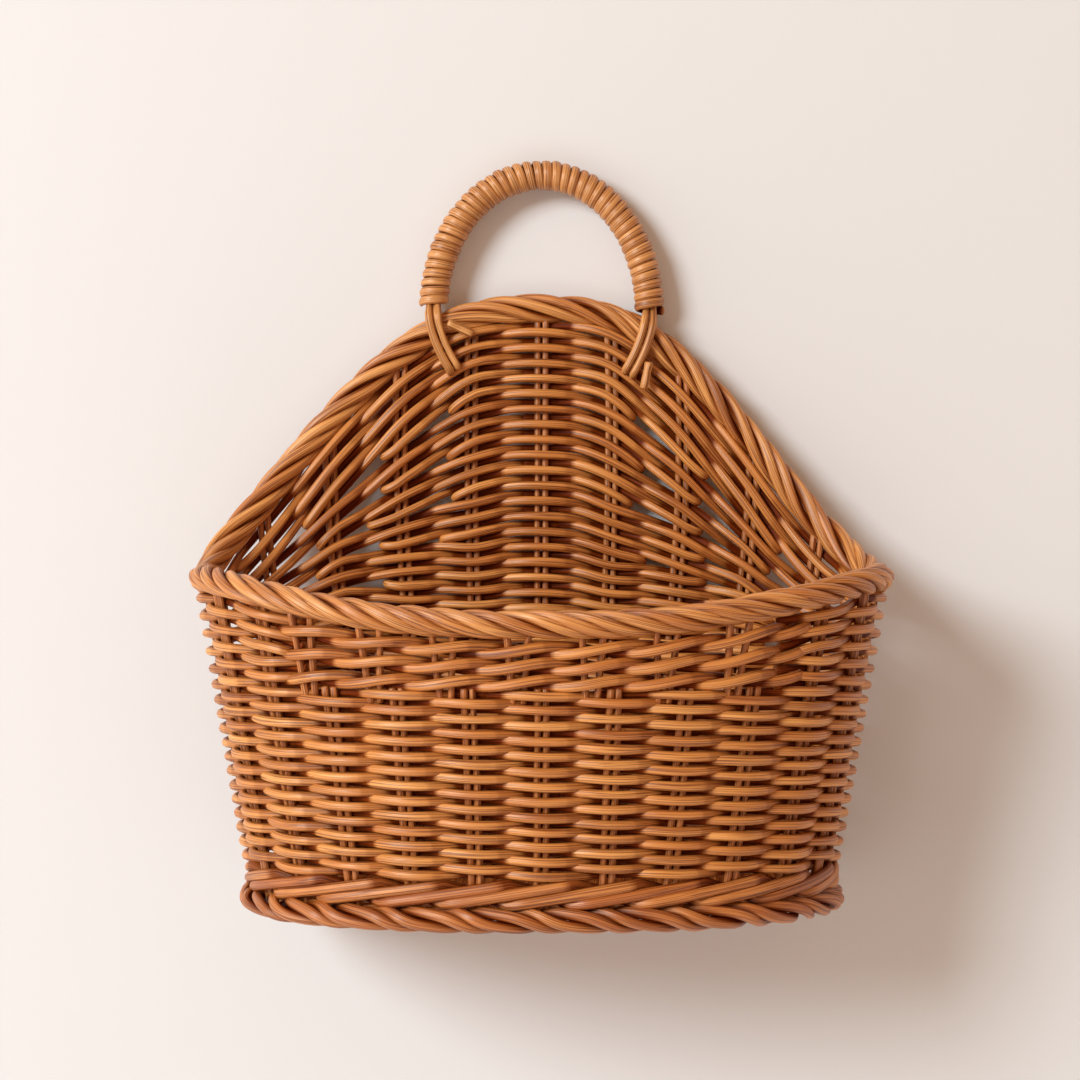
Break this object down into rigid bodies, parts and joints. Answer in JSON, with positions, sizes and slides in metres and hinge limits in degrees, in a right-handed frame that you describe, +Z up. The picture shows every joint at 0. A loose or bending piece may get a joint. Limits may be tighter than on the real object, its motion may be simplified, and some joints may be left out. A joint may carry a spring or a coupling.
{
  "type": "wall basket",
  "caption": "Woven cane wall basket, low rounded front, high arched back and a bound hoop handle that hangs on a nail or hook.",
  "frame": {"origin": "underside of the top of the handle hoop, where a nail or hook bears, half way through the hoop's thickness", "axes": "+Z up, +Y towards the wall, -Y out into the room, +X to the right seen from the front"},
  "size_m": [0.3154, 0.1728, 0.3475],
  "materials": {
    "stake_rods": "semi-gloss varnished cane",
    "weaving_rods": "semi-gloss varnished cane",
    "wale_rods": "semi-gloss varnished cane",
    "border_rods": "semi-gloss varnished cane",
    "base_rods": "semi-gloss varnished cane",
    "handle_rods": "semi-gloss varnished cane",
    "binding_cane": "semi-gloss lapping cane"
  },
  "bodies": {
    "root": {"stake_pair_01": "stake_rods", "stake_pair_02": "stake_rods", "stake_pair_03": "stake_rods", "stake_pair_04": "stake_rods", "stake_pair_05": "stake_rods", "stake_pair_06": "stake_rods", "stake_pair_07": "stake_rods", "stake_pair_08": "stake_rods", "stake_pair_09": "stake_rods", "stake_pair_10": "stake_rods", "stake_pair_11": "stake_rods", "stake_pair_12": "stake_rods", "stake_pair_13": "stake_rods", "stake_pair_14": "stake_rods", "stake_pair_15": "stake_rods", "stake_pair_16": "stake_rods", "stake_pair_17": "stake_rods", "stake_pair_18": "stake_rods", "stake_pair_19": "stake_rods", "stake_pair_20": "stake_rods", "stake_pair_21": "stake_rods", "stake_pair_22": "stake_rods", "stake_pair_23": "stake_rods", "stake_pair_24": "stake_rods", "siding_rows_1": "weaving_rods", "siding_rows_2": "weaving_rods", "siding_rows_3": "weaving_rods", "siding_rows_4": "weaving_rods", "siding_rows_5": "weaving_rods", "back_rows_1": "weaving_rods", "back_rows_2": "weaving_rods", "back_rows_3": "weaving_rods", "back_rows_4": "weaving_rods", "back_rows_5": "weaving_rods", "back_rows_6": "weaving_rods", "back_rows_7": "weaving_rods", "back_rows_8": "weaving_rods", "arch_rows_left": "weaving_rods", "arch_rows_middle": "weaving_rods", "arch_rows_right": "weaving_rods", "bottom_wale": "wale_rods", "top_wale": "wale_rods", "front_border": "border_rods", "arch_border": "border_rods", "foot_border": "border_rods", "base_stick_1": "base_rods", "base_stick_2": "base_rods", "base_stick_3": "base_rods", "base_stick_4": "base_rods", "base_stick_5": "base_rods", "base_panel": "base_rods", "handle_rod_inner": "handle_rods", "handle_rod_outer": "handle_rods", "trimmed_end_left": "handle_rods", "trimmed_end_right": "handle_rods", "handle_binding": "binding_cane"}
  },
  "joints": []
}
